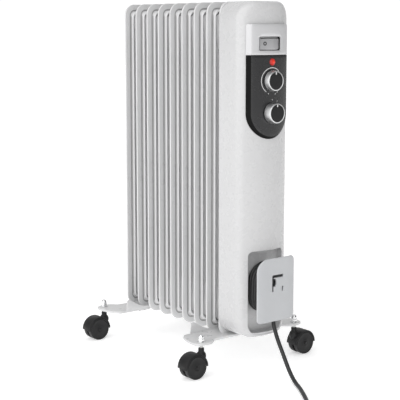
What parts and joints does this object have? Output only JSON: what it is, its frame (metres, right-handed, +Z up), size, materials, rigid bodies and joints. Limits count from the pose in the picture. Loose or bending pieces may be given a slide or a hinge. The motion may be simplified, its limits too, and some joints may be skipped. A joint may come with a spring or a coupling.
{
  "type": "oil filled radiator heater",
  "caption": "Upright oil filled electric radiator with ribbed white fins, a bowed front cover with controls and cord wrap, on swivel casters.",
  "frame": {"origin": "on the floor, under the middle of the heater's bounding box without its cord", "axes": "+Z up, -Y the way the control face looks, +X the control face's right-hand side as seen from the front"},
  "size_m": [0.3078, 0.6541, 0.63],
  "materials": {
    "white_paint": "glossy white enamel on pressed sheet",
    "white_plastic": "smooth off-white moulding",
    "black_gloss": "glossy black moulding",
    "black_matt": "satin black moulding",
    "grey_plastic": "satin light grey moulding",
    "silver": "silver coated plastic, fine satin",
    "red_lens": "clear red lens",
    "chrome": "polished",
    "zinc": "zinc plated",
    "rubber": "matt black PVC sheath"
  },
  "bodies": {
    "heater": {"fin_1": "white_paint", "fin_2": "white_paint", "fin_3": "white_paint", "fin_4": "white_paint", "fin_5": "white_paint", "fin_6": "white_paint", "fin_7": "white_paint", "fin_8": "white_paint", "fin_9": "white_paint", "heating_element": "zinc", "oil_filler_cap": "zinc", "front_cover": "white_paint", "back_plate": "white_paint", "control_panel": "black_gloss", "label_plate": "silver", "rocker_switch_body": "black_matt", "pilot_lamp": "red_lens", "thermostat_body": "black_matt", "selector_body": "black_matt", "thermal_cutoff": "black_matt", "terminal_block": "white_plastic", "cord_wrap_core": "grey_plastic", "cord_wrap_plate": "grey_plastic", "cord_winding": "rubber", "cord_gland": "rubber", "cord_tail": "rubber", "plug": "rubber", "foot_bracket_front": "white_paint", "u_bolt_front": "zinc", "wing_nut_front_left": "zinc", "wing_nut_front_right": "zinc", "foot_bracket_rear": "white_paint", "u_bolt_rear": "zinc", "wing_nut_rear_left": "zinc", "wing_nut_rear_right": "zinc", "cap_nut_front_left": "chrome", "caster_stem_front_left": "zinc", "cap_nut_front_right": "chrome", "caster_stem_front_right": "zinc", "cap_nut_rear_left": "chrome", "caster_stem_rear_left": "zinc", "cap_nut_rear_right": "chrome", "caster_stem_rear_right": "zinc"},
    "thermostat": {"thermostat_shaft": "zinc", "thermostat_knob": "silver"},
    "selector": {"selector_shaft": "zinc", "selector_knob": "silver"},
    "rocker_key": {"rocker": "silver"},
    "swivel_front_left": {"caster_hood_front_left": "black_matt"},
    "wheel_front_left_front": {"caster_wheel_front_left_front": "black_matt"},
    "wheel_front_left_rear": {"caster_wheel_front_left_rear": "black_matt"},
    "swivel_front_right": {"caster_hood_front_right": "black_matt"},
    "wheel_front_right_front": {"caster_wheel_front_right_front": "black_matt"},
    "wheel_front_right_rear": {"caster_wheel_front_right_rear": "black_matt"},
    "swivel_rear_left": {"caster_hood_rear_left": "black_matt"},
    "wheel_rear_left_front": {"caster_wheel_rear_left_front": "black_matt"},
    "wheel_rear_left_rear": {"caster_wheel_rear_left_rear": "black_matt"},
    "swivel_rear_right": {"caster_hood_rear_right": "black_matt"},
    "wheel_rear_right_front": {"caster_wheel_rear_right_front": "black_matt"},
    "wheel_rear_right_rear": {"caster_wheel_rear_right_rear": "black_matt"}
  },
  "joints": [
    {"name": "swivel_turn_front_left", "type": "hinge", "parent": "heater", "child": "swivel_front_left", "pos_m": [-0.106, -0.12205, 0.045], "axis": [0, 0, 1], "continuous": true},
    {"name": "wheel_turn_front_left_front", "type": "hinge", "parent": "swivel_front_left", "child": "wheel_front_left_front", "pos_m": [-0.1235, -0.12205, 0.02], "axis": [0, 1, 0], "continuous": true},
    {"name": "wheel_turn_front_left_rear", "type": "hinge", "parent": "swivel_front_left", "child": "wheel_front_left_rear", "pos_m": [-0.1235, -0.12205, 0.02], "axis": [0, 1, 0], "continuous": true},
    {"name": "swivel_turn_front_right", "type": "hinge", "parent": "heater", "child": "swivel_front_right", "pos_m": [0.106, -0.12205, 0.045], "axis": [0, 0, 1], "continuous": true},
    {"name": "wheel_turn_front_right_front", "type": "hinge", "parent": "swivel_front_right", "child": "wheel_front_right_front", "pos_m": [0.1235, -0.12205, 0.02], "axis": [0, 1, 0], "continuous": true},
    {"name": "wheel_turn_front_right_rear", "type": "hinge", "parent": "swivel_front_right", "child": "wheel_front_right_rear", "pos_m": [0.1235, -0.12205, 0.02], "axis": [0, 1, 0], "continuous": true},
    {"name": "swivel_turn_rear_left", "type": "hinge", "parent": "heater", "child": "swivel_rear_left", "pos_m": [-0.106, 0.18165, 0.045], "axis": [0, 0, 1], "continuous": true},
    {"name": "wheel_turn_rear_left_front", "type": "hinge", "parent": "swivel_rear_left", "child": "wheel_rear_left_front", "pos_m": [-0.1235, 0.18165, 0.02], "axis": [0, 1, 0], "continuous": true},
    {"name": "wheel_turn_rear_left_rear", "type": "hinge", "parent": "swivel_rear_left", "child": "wheel_rear_left_rear", "pos_m": [-0.1235, 0.18165, 0.02], "axis": [0, 1, 0], "continuous": true},
    {"name": "swivel_turn_rear_right", "type": "hinge", "parent": "heater", "child": "swivel_rear_right", "pos_m": [0.106, 0.18165, 0.045], "axis": [0, 0, 1], "continuous": true},
    {"name": "wheel_turn_rear_right_front", "type": "hinge", "parent": "swivel_rear_right", "child": "wheel_rear_right_front", "pos_m": [0.1235, 0.18165, 0.02], "axis": [0, 1, 0], "continuous": true},
    {"name": "wheel_turn_rear_right_rear", "type": "hinge", "parent": "swivel_rear_right", "child": "wheel_rear_right_rear", "pos_m": [0.1235, 0.18165, 0.02], "axis": [0, 1, 0], "continuous": true},
    {"name": "thermostat_turn", "type": "hinge", "parent": "heater", "child": "thermostat", "pos_m": [0, -0.178, 0.4994], "axis": [0, 1, 0], "range_deg": [-140, 140]},
    {"name": "selector_turn", "type": "hinge", "parent": "heater", "child": "selector", "pos_m": [0, -0.178, 0.4461], "axis": [0, 1, 0], "range_deg": [0, 270]},
    {"name": "rocker_tilt", "type": "hinge", "parent": "heater", "child": "rocker_key", "pos_m": [-0.003, -0.17001, 0.5605], "axis": [0, 0, 1], "range_deg": [0, 5.5]}
  ]
}
